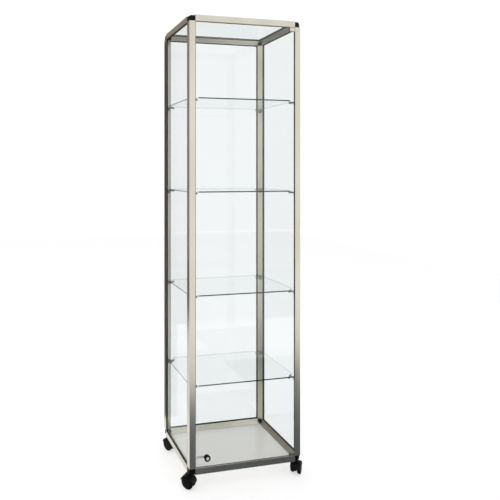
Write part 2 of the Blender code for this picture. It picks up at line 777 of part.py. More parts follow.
def build_castors():
    hood = castor_hood_mesh()
    wheels = castor_wheels_mesh()
    for corner, heading in CASTOR_HEADINGS.items():
        side = 1 if corner.endswith("right") else -1
        end = 1 if corner.startswith("rear") else -1
        place = (side * (HALF_WIDTH - CASTOR_INSET), end * (HALF_DEPTH - CASTOR_INSET), 0)
        swivel = bpy.data.objects.new(f"castor_{corner}_swivel", None)
        swivel.location = place
        swivel.rotation_euler.z = math.radians(heading)
        PARTS.objects.link(swivel)
        bpy.context.view_layer.update()
        hood_part = add_part(f"castor_{corner}_hood", hood, "black_plastic")
        wheel_part = add_part(f"castor_{corner}_wheels", wheels, "black_nylon")
        for part in (hood_part, wheel_part):
            part.parent = swivel
        wheel_part.matrix_local = frame_matrix(X, Z, -Y, (CASTOR_TRAIL, 0, AXLE_HEIGHT))


def main():
    build_posts()
    build_rails()
    build_corner_joints()
    build_panes()
    build_shelves()
    build_door()
    build_lock()
    build_castors()


main()
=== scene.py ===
"""Looks for a glazed display case on castors: finishes, seals, screws, wheel ribs and a studio stage."""

import json
import math

import bmesh
import bpy
from bpy.props import FloatProperty, FloatVectorProperty, IntProperty, PointerProperty
from mathutils import Matrix, Vector

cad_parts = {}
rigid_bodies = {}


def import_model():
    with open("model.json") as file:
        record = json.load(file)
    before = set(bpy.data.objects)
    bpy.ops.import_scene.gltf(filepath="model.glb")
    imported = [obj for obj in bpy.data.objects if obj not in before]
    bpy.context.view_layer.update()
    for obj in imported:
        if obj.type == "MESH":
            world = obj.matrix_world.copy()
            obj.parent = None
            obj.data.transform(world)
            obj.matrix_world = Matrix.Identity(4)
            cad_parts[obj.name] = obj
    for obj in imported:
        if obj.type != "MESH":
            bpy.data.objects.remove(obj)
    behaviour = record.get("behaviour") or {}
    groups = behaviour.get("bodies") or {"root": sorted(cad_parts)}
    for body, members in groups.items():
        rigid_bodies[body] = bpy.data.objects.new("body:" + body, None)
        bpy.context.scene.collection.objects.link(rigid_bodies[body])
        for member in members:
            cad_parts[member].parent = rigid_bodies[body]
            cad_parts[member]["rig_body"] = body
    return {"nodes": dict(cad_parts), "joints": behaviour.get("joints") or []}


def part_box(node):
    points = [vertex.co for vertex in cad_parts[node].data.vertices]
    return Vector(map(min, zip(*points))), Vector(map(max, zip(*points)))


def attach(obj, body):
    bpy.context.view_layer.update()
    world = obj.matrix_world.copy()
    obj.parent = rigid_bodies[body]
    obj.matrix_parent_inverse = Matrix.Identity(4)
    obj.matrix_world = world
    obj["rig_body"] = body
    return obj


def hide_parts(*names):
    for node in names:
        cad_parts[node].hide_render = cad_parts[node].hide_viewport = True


bl_info = {
    "name": "Glazed display case",
    "version": (1, 0, 0),
    "blender": (4, 5, 0),
    "location": "3D View > Sidebar > Display Case",
    "description": "Builds the finishes, seals, fixings and stage of a glazed display case",
    "category": "Object",
}

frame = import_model()
NODES = frame["nodes"]
JOINTS = {joint["name"]: joint for joint in frame["joints"]}
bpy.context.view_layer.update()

CORNERS = ("front_left", "front_right", "rear_left", "rear_right")
LEVELS = ("bottom", "top")
X_RAILS = [f"rail_{level}_{side}" for level in LEVELS for side in ("front", "rear")]
Y_RAILS = [f"rail_{level}_{side}" for level in LEVELS for side in ("left", "right")]
POSTS = [f"post_{corner}" for corner in CORNERS]
CORNER_JOINTS = [f"corner_joint_{level}_{corner}" for level in LEVELS for corner in CORNERS]
SHELVES = [f"shelf_{number}" for number in (1, 2, 3, 4)]
CLIPS = [f"clip_{number}_{corner}" for number in (1, 2, 3, 4) for corner in CORNERS]
HINGES = ["door_hinge_bottom", "door_hinge_top"]

MILLIMETRE = 0.001
MERGE_DISTANCE = 0.02 * MILLIMETRE
FLAT_ANGLE = math.radians(1.0)
SHARP_ANGLE = math.radians(32.0)
ROUNDING_SEGMENTS = 2

# the Mix node has a pair of inputs for each kind of value; these are its colour ones
COLOUR_A, COLOUR_B, COLOUR_RESULT = 6, 7, 2
# the middle of a noise pattern, spread over the whole range of a finish
PATTERN_RANGE = {"From Min": 0.3, "From Max": 0.7}
# a ray may pass this many clear faces: two for each pane and shelf in line
CLEAR_FACES = 32
# a pane's own face points this much along its thin axis; the rest are its edges
FACE_LIMIT = 0.8
# the share of light that a glass face mirrors straight on, and its rise to the rim
MIRROR_STRAIGHT_ON = 0.03
MIRROR_RISE = 0.14
MIRROR_POWER = 5.0
# how deep the edges are painted green at the door, at the left and elsewhere: a painted shade set by where
# the edge stands
DOOR_EDGE_PAINTED_GREEN = 0.98
LEFT_EDGE_PAINTED_GREEN = 0.5
OTHER_EDGE_PAINTED_GREEN = 0.05

# the fine pieces: counts, shares, and lengths in metres
SEAL_ARC_POINTS = 3
RIB_ARC_POINTS = 2
RIB_CORNER_SHARE = 0.3
RIB_INNER_RADIUS = 0.0100
RIB_OUTER_RADIUS = 0.0205
RIB_WIDTH = 0.0012
RIB_HEIGHT = 0.0006
RIB_FACE_OFFSET = 0.01925
SCREW_SIDES = 24
SCREW_RIM_SHARE = 0.86
SCREW_SOCKET_SHARE = 0.5
SCREW_HEIGHT = 0.5 * MILLIMETRE
SCREW_PITCH = 0.011
SCREW_INSET = 0.016
SCREWS_IN_ROW = 2
CAM_ROUNDING = 0.2 * MILLIMETRE

# the stage, in metres and radians
FLOOR_LEVEL = -0.0005
FLAG_LEVEL = 0.004
SOFTBOX_SIDES = (2.4, 1.6)
SOFTBOX_PLACE = (-0.6, -0.9, 3.4)
SOFTBOX_TILT = (math.radians(14), math.radians(-10), 0)
CAMERA_PLACE = (-0.95775, -1.85457, 1.28602)
CAMERA_TURN = (math.pi / 2, 0.0, -0.19)
CAMERA_SHIFT = (0.30856, -0.16046)
CAMERA_CLIP = (0.05, 60.0)
SENSOR_WIDTH = 36.0


def linear(hex_colour):
    """An sRGB hex colour as linear red, green, blue and 1."""
    encoded = [int(hex_colour[index : index + 2], 16) / 255 for index in (1, 3, 5)]
    parts = [part / 12.92 if part <= 0.04045 else ((part + 0.055) / 1.055) ** 2.4 for part in encoded]
    return (*parts, 1.0)


def colour_setting(name, description, hex_colour):
    shown = {"size": 4, "min": 0, "max": 1, "subtype": "COLOR"}
    return FloatVectorProperty(name=name, description=description, default=linear(hex_colour), **shown)


def length_setting(name, description, millimetres):
    return FloatProperty(
        name=name, description=description, default=millimetres * MILLIMETRE, min=0.0001, unit="LENGTH"
    )


class CaseColours(bpy.types.PropertyGroup):
    """Colours of the case's finishes."""

    aluminium: colour_setting("Aluminium", "Champagne anodising of the frame and hinges", "#DAD6CA")
    aluminium_shade: colour_setting("Aluminium shade", "Darker streaks along the extrusions", "#CFCABC")
    glass_tint: colour_setting("Glass tint", "Light that one face of a pane lets through", "#FCFDFD")
    # the edge green is a painted shade, painted deepest at the door edges
    painted_glass_edge: colour_setting("Glass edge", "Deep green of the polished front edges", "#06231A")
    seal: colour_setting("Seal", "Rubber glazing seal", "#232321")
    moulding: colour_setting("Moulding", "Corner joints, castor forks and lock ring", "#060607")
    wheel: colour_setting("Wheel", "Nylon of the castor wheels", "#050506")
    laminate: colour_setting("Laminate", "Face of the base panel", "#E6E3DE")
    plating: colour_setting("Plating", "Plated hinge screws, lock plug and lock cam", "#D4D4D6")
    clip: colour_setting("Clip", "Moulded shelf clip", "#6A6F6D")


class CaseSizes(bpy.types.PropertyGroup):
    """Sizes of the fine pieces."""

    seal_reach: length_setting("Seal reach", "How far the seal lies out over the pane", 3.0)
    inner_seal: length_setting("Inner seal", "Thickness of the seal inside the pane", 2.4)
    outer_seal: length_setting("Outer seal", "Thickness of the seal outside the pane", 1.9)
    edge_rounding: length_setting("Edge rounding", "Rounding of moulded edges", 0.4)
    screw_diameter: length_setting("Screw diameter", "Grub screws of the hinge clamps", 4.0)
    wheel_ribs: IntProperty(
        name="Wheel ribs", description="Ribs on each wheel face", default=10, min=3, max=40
    )


class StageSettings(bpy.types.PropertyGroup):
    """Floor, lights and camera."""

    floor_size: FloatProperty(name="Floor", description="Side of the floor", default=14.0, unit="LENGTH")
    sky: FloatProperty(name="Sky", description="Strength of the white surroundings", default=1.02, min=0)
    softbox: FloatProperty(
        name="Softbox", description="Power of the overhead softbox", default=12.0, unit="POWER"
    )
    focal_length: FloatProperty(
        name="Focal length", description="Focal length in mm", default=32.527, unit="CAMERA"
    )


def add_node(tree, kind, inputs=None, **settings):
    """Adds a node, applies its settings, and links or sets its inputs."""
    node = tree.nodes.new(kind)
    for name, value in settings.items():
        setattr(node, name, value)
    for key, value in (inputs or {}).items():
        socket = node.inputs[key]
        if isinstance(value, bpy.types.NodeSocket):
            tree.links.new(value, socket)
        else:
            socket.default_value = value
    return node


def new_material(name):
    material = bpy.data.materials.new(name)
    material.use_nodes = True
    material.node_tree.nodes.clear()
    return material


def finish_material(material, shader):
    add_node(material.node_tree, "ShaderNodeOutputMaterial", {"Surface": shader})
    return material


def stretched_noise(tree, scale, detail):
    """Noise on Object coordinates, stretched by a scale for each axis in cycles for each metre."""
    place = add_node(tree, "ShaderNodeTexCoord").outputs["Object"]
    mapping = add_node(tree, "ShaderNodeMapping", {"Vector": place, "Scale": scale})
    inputs = {"Vector": mapping.outputs[0], "Scale": 1.0, "Detail": detail}
    noise = add_node(tree, "ShaderNodeTexNoise", inputs)
    return noise.outputs["Fac"]


def scaled(colour, factor):
    return tuple(min(1.0, part * factor) for part in tuple(colour)[:3]) + (1.0,)


def uneven_finish(tree, colour_pattern, colours, rough_pattern, roughness):
    """Shader inputs for a skin whose colour and roughness each drift with a pattern between two values."""
    drift = add_node(tree, "ShaderNodeMapRange", {"Value": colour_pattern, **PATTERN_RANGE})
    inputs = {"Factor": drift.outputs["Result"], COLOUR_A: tuple(colours[0]), COLOUR_B: tuple(colours[1])}
    colour = add_node(tree, "ShaderNodeMix", inputs, data_type="RGBA")
    limits = {"To Min": roughness[0], "To Max": roughness[1]}
    rough = add_node(tree, "ShaderNodeMapRange", {"Value": rough_pattern, **PATTERN_RANGE, **limits})
    return {"Base Color": colour.outputs[COLOUR_RESULT], "Roughness": rough.outputs["Result"]}


def satin_anodised_aluminium(name, axis, colour, shade):
    """Extruded, brushed and champagne anodised: a soft sheen with faint draw lines along its length."""
    material = new_material(name)
    tree = material.node_tree
    # draw lines are about 0.05 mm apart; drawn at 0.8 mm so that they show
    lines = [1250.0, 1250.0, 1250.0]
    lines[axis] = 3.0
    draw = stretched_noise(tree, lines, 3.0)
    cloud = stretched_noise(tree, (9.0, 9.0, 3.0), 2.0)
    bump = add_node(tree, "ShaderNodeBump", {"Height": draw, "Strength": 0.12, "Distance": 0.00004})
    inputs = {
        **uneven_finish(tree, cloud, (colour, shade), draw, (0.27, 0.36)),
        "Metallic": 1.0,
        "Normal": bump.outputs["Normal"],
    }
    return finish_material(material, add_node(tree, "ShaderNodeBsdfPrincipled", inputs).outputs[0])


def float_glass(name, axis, tint, edge):
    """Float-made panes: clear glossy faces, and polished edges painted deep green by where they stand: a
    painted shade for the long path through the glass.
    """
    material = new_material(name)
    tree = material.node_tree
    normal = add_node(tree, "ShaderNodeTexCoord").outputs["Normal"]
    across = add_node(tree, "ShaderNodeSeparateXYZ", {0: normal}).outputs[axis]
    size = add_node(tree, "ShaderNodeMath", {0: across}, operation="ABSOLUTE").outputs[0]
    on_face = add_node(tree, "ShaderNodeMath", {0: size, 1: FACE_LIMIT}, operation="GREATER_THAN").outputs[0]
    # at grazing angles a face mirrors less than real glass does, so that the panes stay clear
    facing = add_node(tree, "ShaderNodeLayerWeight", {"Blend": 0.5}).outputs["Facing"]
    power = add_node(tree, "ShaderNodeMath", {0: facing, 1: MIRROR_POWER}, operation="POWER").outputs[0]
    mirror = {0: power, 1: MIRROR_RISE, 2: MIRROR_STRAIGHT_ON}
    share = add_node(tree, "ShaderNodeMath", mirror, operation="MULTIPLY_ADD").outputs[0]
    gloss = add_node(tree, "ShaderNodeBsdfGlossy", {"Roughness": 0.012, "Color": (1, 1, 1, 1)})
    # slow drift of the tint, half a metre long
    drift = stretched_noise(tree, (2.0, 2.0, 2.0), 1.0)
    inputs = {"Factor": drift, COLOUR_A: tuple(tint), COLOUR_B: scaled(tint, 0.985)}
    tinted = add_node(tree, "ShaderNodeMix", inputs, data_type="RGBA").outputs[COLOUR_RESULT]
    clear = add_node(tree, "ShaderNodeBsdfTransparent", {"Color": tinted})
    face = add_node(tree, "ShaderNodeMixShader", {0: share, 1: clear.outputs[0], 2: gloss.outputs[0]})
    # polishing marks along the edges, drawn at 17 mm so that they show
    grain = stretched_noise(tree, (60.0, 60.0, 60.0), 2.0)
    inputs = {"Factor": grain, COLOUR_A: tuple(edge), COLOUR_B: scaled(edge, 0.6)}
    green = add_node(tree, "ShaderNodeMix", inputs, data_type="RGBA").outputs[COLOUR_RESULT]
    body = add_node(tree, "ShaderNodeBsdfDiffuse", {"Color": green})
    through = add_node(tree, "ShaderNodeBsdfTransparent", {"Color": linear("#EDF3F0")})
    # painted shade: the green is painted deepest along the edges at the door, half as deep at the left, and
    # nearly gone elsewhere, set by where the edge stands
    place = add_node(tree, "ShaderNodeTexCoord").outputs["Object"]
    along = add_node(tree, "ShaderNodeSeparateXYZ", {0: place}).outputs
    depths = []
    for label, start, deepest in zip("XY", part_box("shelf_1")[0].xy, (LEFT_EDGE_PAINTED_GREEN, DOOR_EDGE_PAINTED_GREEN)):
        limits = {"From Min": start + 0.5 * MILLIMETRE, "From Max": start + MILLIMETRE}
        fade = {"Value": along[label], **limits, "To Min": deepest, "To Max": OTHER_EDGE_PAINTED_GREEN}
        depths.append(add_node(tree, "ShaderNodeMapRange", fade).outputs["Result"])
    depth = add_node(tree, "ShaderNodeMath", {0: depths[1], 1: depths[0]}, operation="MAXIMUM").outputs[0]
    deep = add_node(tree, "ShaderNodeMixShader", {0: depth, 1: through.outputs[0], 2: body.outputs[0]})
    rim = add_node(tree, "ShaderNodeMixShader", {0: share, 1: deep.outputs[0], 2: gloss.outputs[0]})
    whole = add_node(tree, "ShaderNodeMixShader", {0: on_face, 1: rim.outputs[0], 2: face.outputs[0]})
    return finish_material(material, whole.outputs[0])


def moulded_plastic(name, colour, roughness, grain, ior, specular):
    """Injection-moulded from a spark-eroded tool: an even satin skin with a fine grain, given in mm."""
    material = new_material(name)
    tree = material.node_tree
    fineness = 1.0 / (grain * MILLIMETRE)
    pits = stretched_noise(tree, (fineness,) * 3, 2.0)
    # handling wear in patches of about 30 mm
    wear = stretched_noise(tree, (35.0, 35.0, 35.0), 3.0)
    bump = add_node(tree, "ShaderNodeBump", {"Height": pits, "Strength": 0.25, "Distance": 0.00006})
    inputs = {
        **uneven_finish(tree, wear, (colour, scaled(colour, 1.7)), wear, (roughness, roughness + 0.12)),
        "IOR": ior,
        "Specular IOR Level": specular,
        "Normal": bump.outputs["Normal"],
    }
    return finish_material(material, add_node(tree, "ShaderNodeBsdfPrincipled", inputs).outputs[0])


def extruded_rubber(name, colour):
    """Extruded EPDM: a dull black with a little bloom, so it stays dark beside the bright metal."""
    material = new_material(name)
    tree = material.node_tree
    # bloom in patches of about 40 mm, drawn out along the upright runs
    bloom = stretched_noise(tree, (25.0, 25.0, 8.0), 3.0)
    inputs = {
        **uneven_finish(tree, bloom, (scaled(colour, 0.7), scaled(colour, 1.4)), bloom, (0.5, 0.65)),
        "IOR": 1.5,
        "Specular IOR Level": 0.3,
    }
    return finish_material(material, add_node(tree, "ShaderNodeBsdfPrincipled", inputs).outputs[0])


def pressed_laminate(name, colour):
    """Melamine pressed on board: a pale even face whose resin skin mirrors the posts softly."""
    material = new_material(name)
    tree = material.node_tree
    # resin mottle of about 3 mm
    mottle = stretched_noise(tree, (330.0, 330.0, 330.0), 2.0)
    bump = add_node(tree, "ShaderNodeBump", {"Height": mottle, "Strength": 0.05, "Distance": 0.0001})
    inputs = {
        **uneven_finish(tree, mottle, (colour, scaled(colour, 0.94)), mottle, (0.16, 0.24)),
        "IOR": 1.55,
        "Normal": bump.outputs["Normal"],
    }
    return finish_material(material, add_node(tree, "ShaderNodeBsdfPrincipled", inputs).outputs[0])


def nickel_plate(name, colour):
    """Polished and nickel plated: a bright metal with slight polishing haze."""
    material = new_material(name)
    tree = material.node_tree
    # buffing haze in patches of about 6 mm
    haze = stretched_noise(tree, (160.0, 160.0, 160.0), 3.0)
    inputs = {
        **uneven_finish(tree, haze, (colour, scaled(colour, 0.9)), haze, (0.10, 0.22)),
        "Metallic": 1.0,
    }
    return finish_material(material, add_node(tree, "ShaderNodeBsdfPrincipled", inputs).outputs[0])


def satin_zinc(name, colour):
    """Die-cast and satin plated: the pitted skin scatters light, so it stays pale from every side."""
    material = new_material(name)
    tree = material.node_tree
    # pits of about 1 mm
    pits = stretched_noise(tree, (900.0, 900.0, 900.0), 2.0)
    bump = add_node(tree, "ShaderNodeBump", {"Height": pits, "Strength": 0.2, "Distance": 0.00004})
    inputs = {
        **uneven_finish(tree, pits, (colour, scaled(colour, 0.85)), pits, (0.3, 0.45)),
        "Metallic": 0.25,
        "Normal": bump.outputs["Normal"],
    }
    return finish_material(material, add_node(tree, "ShaderNodeBsdfPrincipled", inputs).outputs[0])


def painted_floor(name):
    """Matt white paint, lit so evenly that only a faint shade is left under the case."""
    material = new_material(name)
    tree = material.node_tree
    # roller marks of about 25 mm
    roller = stretched_noise(tree, (40.0, 40.0, 40.0), 2.0)
    inputs = {"Factor": roller, COLOUR_A: linear("#AEAEAE"), COLOUR_B: linear("#AAAAAA")}
    paint = {
        "Base Color": add_node(tree, "ShaderNodeMix", inputs, data_type="RGBA").outputs[COLOUR_RESULT],
        "Roughness": 0.8,
        "Emission Color": (1, 1, 1, 1),
        "Emission Strength": 0.6,
    }
    return finish_material(material, add_node(tree, "ShaderNodeBsdfPrincipled", paint).outputs[0])


def painted_reflection_flag(name, hex_colour):
    """A sheet that glows at one even dark tone wherever the light stands: a painted reflection for a studio
    flag.
    """
    material = new_material(name)
    tree = material.node_tree
    # a coarse mottle of about 3 mm in the painted tone
    tone_noise = stretched_noise(tree, (300.0, 300.0, 300.0), 2.0)
    inputs = {"Factor": tone_noise, COLOUR_A: linear(hex_colour), COLOUR_B: scaled(linear(hex_colour), 1.1)}
    shade = add_node(tree, "ShaderNodeMix", inputs, data_type="RGBA").outputs[COLOUR_RESULT]
    painted_reflection_glow = add_node(tree, "ShaderNodeEmission", {"Color": shade})
    return finish_material(material, painted_reflection_glow.outputs[0])


def dress(names, material):
    """Gives a material to every material slot of the named nodes."""
    for name in names:
        for slot in NODES[name].material_slots:
            slot.material = material


def add_piece(name, mesh, material, body):
    piece = bpy.data.objects.new(name, mesh)
    bpy.context.scene.collection.objects.link(piece)
    mesh.materials.clear()
    mesh.materials.append(material)
    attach(piece, body)
    return piece


def shade_by_angle(work):
    """Shades faces smooth, and keeps the edges between steep ones sharp."""
    for face in work.faces:
        face.smooth = True
    for edge in work.edges:
        edge.smooth = edge.calc_face_angle(0.0) < SHARP_ANGLE


def refined_copy(node, material, rounding):
    """A smooth-shaded copy of a node with its edges rounded, shown in the node's place."""
    work = bmesh.new()
    work.from_mesh(NODES[node].data)
    bmesh.ops.remove_doubles(work, verts=work.verts, dist=MERGE_DISTANCE)
    bmesh.ops.dissolve_limit(work, angle_limit=FLAT_ANGLE, verts=work.verts, edges=work.edges)
    bmesh.ops.recalc_face_normals(work, faces=work.faces)
    shade_by_angle(work)
    mesh = bpy.data.meshes.new(f"{node}_finish")
    work.to_mesh(mesh)
    work.free()
    if "custom_normal" in mesh.attributes:
        mesh.attributes.remove(mesh.attributes["custom_normal"])
    piece = add_piece(f"{node}_finish", mesh, material, NODES[node]["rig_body"])
    if rounding:
        bevel = piece.modifiers.new("rounding", "BEVEL")
        bevel.width = rounding
        bevel.segments = ROUNDING_SEGMENTS
        bevel.limit_method = "ANGLE"
        bevel.angle_limit = SHARP_ANGLE
        bevel.use_clamp_overlap = True
    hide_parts(node)
    return piece


def new_tree(name, floats=(), integers=()):
    """A geometry tree with named size inputs; returns it with its input node's outputs."""
    tree = bpy.data.node_groups.new(name, "GeometryNodeTree")
    for label in floats:
        tree.interface.new_socket(label, in_out="INPUT", socket_type="NodeSocketFloat")
    for label in integers:
        tree.interface.new_socket(label, in_out="INPUT", socket_type="NodeSocketInt")
    tree.interface.new_socket("Material", in_out="INPUT", socket_type="NodeSocketMaterial")
    tree.interface.new_socket("Geometry", in_out="OUTPUT", socket_type="NodeSocketGeometry")
    return tree, add_node(tree, "NodeGroupInput").outputs


def end_tree(tree, geometry, material):
    """Ends a geometry tree in Realize Instances and Set Material."""
    real = add_node(tree, "GeometryNodeRealizeInstances", {"Geometry": geometry}).outputs[0]
    painted = add_node(tree, "GeometryNodeSetMaterial", {"Geometry": real, "Material": material}).outputs[0]
    add_node(tree, "NodeGroupOutput", {"Geometry": painted})
    return tree


def grown_mesh(name, tree, sizes, material, matrix):
    """Runs a geometry tree with these sizes and returns its plain mesh, put in its place by the matrix."""
    carrier = bpy.data.objects.new(name, bpy.data.meshes.new(name + "_seed"))
    bpy.context.scene.collection.objects.link(carrier)
    modifier = carrier.modifiers.new(name, "NODES")
    modifier.node_group = tree
    for item in tree.interface.items_tree:
        if item.in_out == "INPUT":
            modifier[item.identifier] = material if item.name == "Material" else sizes[item.name]
    graph = bpy.context.evaluated_depsgraph_get()
    mesh = bpy.data.meshes.new_from_object(carrier.evaluated_get(graph))
    bpy.data.objects.remove(carrier)
    mesh.transform(matrix)
    tidy_mesh(mesh)
    return mesh


def tidy_mesh(mesh):
    """Merges doubles, turns the faces outward and shades round faces smooth."""
    work = bmesh.new()
    work.from_mesh(mesh)
    bmesh.ops.remove_doubles(work, verts=work.verts, dist=MERGE_DISTANCE / 2)
    bmesh.ops.recalc_face_normals(work, faces=work.faces)
    shade_by_angle(work)
    work.to_mesh(mesh)
    work.free()


def joined(name, meshes):
    """Several meshes as one."""
    work = bmesh.new()
    for mesh in meshes:
        work.from_mesh(mesh)
    whole = bpy.data.meshes.new(name)
    work.to_mesh(whole)
    work.free()
    return whole


def seal_tree():
    """A mitred rectangular run of seal with a rounded section, in the XY plane with its thickness along Z."""
    tree, sizes = new_tree("glazing_seal", ("Opening Width", "Opening Height", "Reach", "Thickness"))
    sides = []
    for label in ("Opening Width", "Opening Height"):
        inputs = {0: sizes[label], 1: sizes["Reach"]}
        sides.append(add_node(tree, "ShaderNodeMath", inputs, operation="SUBTRACT").outputs[0])
    path = add_node(tree, "GeometryNodeCurvePrimitiveQuadrilateral", {0: sides[0], 1: sides[1]})
    # the section stands across the mitres, where the run is root two wider
    mitred = add_node(tree, "ShaderNodeMath", {0: sizes["Reach"], 1: math.sqrt(2)}, operation="MULTIPLY")
    ridge = add_node(tree, "ShaderNodeMath", {0: sizes["Thickness"], 1: 0.5}, operation="MULTIPLY")
    section = add_node(
        tree,
        "GeometryNodeCurvePrimitiveQuadrilateral",
        {0: mitred.outputs[0], 1: sizes["Thickness"]},
    )
    arcs = {"Radius": ridge.outputs[0], "Limit Radius": True, "Count": SEAL_ARC_POINTS}
    rounded = add_node(tree, "GeometryNodeFilletCurve", {"Curve": section.outputs[0], **arcs}, mode="POLY")
    swept = add_node(
        tree,
        "GeometryNodeCurveToMesh",
        {"Curve": path.outputs[0], "Profile Curve": rounded.outputs[0]},
    )
    return end_tree(tree, swept.outputs[0], sizes["Material"])


def rib_ring_tree():
    """Radial ribs set round the Z axis, between two radii."""
    lengths = ("Inner Radius", "Outer Radius", "Rib Width", "Rib Height")
    tree, sizes = new_tree("rib_ring", lengths, ("Count",))
    total = add_node(
        tree, "ShaderNodeMath", {0: sizes["Inner Radius"], 1: sizes["Outer Radius"]}, operation="ADD"
    )
    middle = add_node(tree, "ShaderNodeMath", {0: total.outputs[0], 1: 0.5}, operation="MULTIPLY")
    length = add_node(
        tree, "ShaderNodeMath", {0: sizes["Outer Radius"], 1: sizes["Inner Radius"]}, operation="SUBTRACT"
    )
    ring = add_node(
        tree, "GeometryNodeMeshCircle", {"Vertices": sizes["Count"], "Radius": middle.outputs[0]}
    )
    reach = add_node(tree, "ShaderNodeCombineXYZ", {"X": length.outputs[0]})
    ends = []
    for share in (-0.5, 0.5):
        inputs = {0: reach.outputs[0], 1: (share, 0.0, 0.0)}
        ends.append(add_node(tree, "ShaderNodeVectorMath", inputs, operation="MULTIPLY").outputs[0])
    line = add_node(tree, "GeometryNodeCurvePrimitiveLine", {"Start": ends[0], "End": ends[1]})
    section = add_node(
        tree, "GeometryNodeCurvePrimitiveQuadrilateral", {0: sizes["Rib Width"], 1: sizes["Rib Height"]}
    )
    share = {0: sizes["Rib Height"], 1: RIB_CORNER_SHARE}
    corner = add_node(tree, "ShaderNodeMath", share, operation="MULTIPLY")
    arcs = {"Radius": corner.outputs[0], "Limit Radius": True, "Count": RIB_ARC_POINTS}
    rounded = add_node(tree, "GeometryNodeFilletCurve", {"Curve": section.outputs[0], **arcs}, mode="POLY")
    rib = add_node(
        tree,
        "GeometryNodeCurveToMesh",
        {"Curve": line.outputs[0], "Profile Curve": rounded.outputs[0], "Fill Caps": True},
    )
    index = add_node(tree, "GeometryNodeInputIndex")
    turn = add_node(tree, "ShaderNodeMath", {0: index.outputs[0], 1: math.tau}, operation="MULTIPLY")
    angle = add_node(tree, "ShaderNodeMath", {0: turn.outputs[0], 1: sizes["Count"]}, operation="DIVIDE")
    rotation = add_node(tree, "ShaderNodeCombineXYZ", {"Z": angle.outputs[0]})
    ribs = add_node(
        tree,
        "GeometryNodeInstanceOnPoints",
        {"Points": ring.outputs[0], "Instance": rib.outputs[0], "Rotation": rotation.outputs[0]},
    )
    return end_tree(tree, ribs.outputs[0], sizes["Material"])


def screw_row_tree():
    """A row of socket screws along X, heads towards Z, each with a chamfered rim and a hexagon socket."""
    tree, sizes = new_tree("screw_row", ("Diameter", "Height", "Pitch"), ("Count",))
    gaps = add_node(tree, "ShaderNodeMath", {0: sizes["Count"], 1: 1.0}, operation="SUBTRACT")
    length = add_node(tree, "ShaderNodeMath", {0: gaps.outputs[0], 1: sizes["Pitch"]}, operation="MULTIPLY")
    start = add_node(tree, "ShaderNodeMath", {0: length.outputs[0], 1: -0.5}, operation="MULTIPLY")
    row = add_node(
        tree,
        "GeometryNodeMeshLine",
        {
            "Count": sizes["Count"],
            "Start Location": add_node(tree, "ShaderNodeCombineXYZ", {"X": start.outputs[0]}).outputs[0],
            "Offset": add_node(tree, "ShaderNodeCombineXYZ", {"X": sizes["Pitch"]}).outputs[0],
        },
    )
    radius = add_node(tree, "ShaderNodeMath", {0: sizes["Diameter"], 1: 0.5}, operation="MULTIPLY")
    rim = add_node(tree, "ShaderNodeMath", {0: radius.outputs[0], 1: SCREW_RIM_SHARE}, operation="MULTIPLY")
    head = add_node(
        tree,
        "GeometryNodeMeshCone",
        {
            "Vertices": SCREW_SIDES,
            "Radius Top": rim.outputs[0],
            "Radius Bottom": radius.outputs[0],
            "Depth": sizes["Height"],
        },
    )
    share = {0: radius.outputs[0], 1: SCREW_SOCKET_SHARE}
    key = add_node(tree, "ShaderNodeMath", share, operation="MULTIPLY")
    socket = add_node(
        tree,
        "GeometryNodeMeshCylinder",
        {"Vertices": 6, "Radius": key.outputs[0], "Depth": sizes["Height"]},
    )
    lift = add_node(tree, "ShaderNodeCombineXYZ", {"Z": sizes["Height"]})
    raised = add_node(
        tree, "GeometryNodeTransform", {"Geometry": socket.outputs[0], "Translation": lift.outputs[0]}
    )
    cut = add_node(tree, "GeometryNodeMeshBoolean", operation="DIFFERENCE", solver="EXACT")
    tree.links.new(head.outputs[0], cut.inputs["Mesh 1"])
    tree.links.new(raised.outputs[0], cut.inputs["Mesh 2"])
    screws = add_node(
        tree, "GeometryNodeInstanceOnPoints", {"Points": row.outputs[0], "Instance": cut.outputs[0]}
    )
    return end_tree(tree, screws.outputs[0], sizes["Material"])


def placed(x_axis, y_axis, z_axis, origin):
    """A matrix that puts local X, Y and Z along these directions from this origin."""
    columns = [Vector(axis) for axis in (x_axis, y_axis, z_axis)]
    return Matrix.Translation(origin) @ Matrix(columns).transposed().to_4x4()


class DISPLAYCASE_OT_stage(bpy.types.Operator):
    """Sets up the floor, the soft light and the camera"""

    bl_idname = "display_case.stage"
    bl_label = "Set the stage"

    def execute(self, context):
        settings = context.scene.case_stage
        add_floor(settings.floor_size)
        add_flags()
        add_light(context, settings)
        add_camera(context, settings.focal_length)
        context.scene.view_settings.view_transform = "Standard"
        return {"FINISHED"}


def add_sheet(name, centre, across, up, material):
    """A flat rectangular sheet from its centre and its two half sides."""
    centre, across, up = Vector(centre), Vector(across), Vector(up)
    corners = [centre - across - up, centre + across - up, centre + across + up, centre - across + up]
    mesh = bpy.data.meshes.new(name)
    mesh.from_pydata([tuple(corner) for corner in corners], [], [(0, 1, 2, 3)])
    mesh.materials.append(material)
    sheet = bpy.data.objects.new(name, mesh)
    bpy.context.scene.collection.objects.link(sheet)
    return sheet


def add_floor(side):
    half = side / 2
    paint = painted_floor("matt_white_floor_paint")
    add_sheet("floor", (0, 0, FLOOR_LEVEL), (half, 0, 0), (0, half, 0), paint)


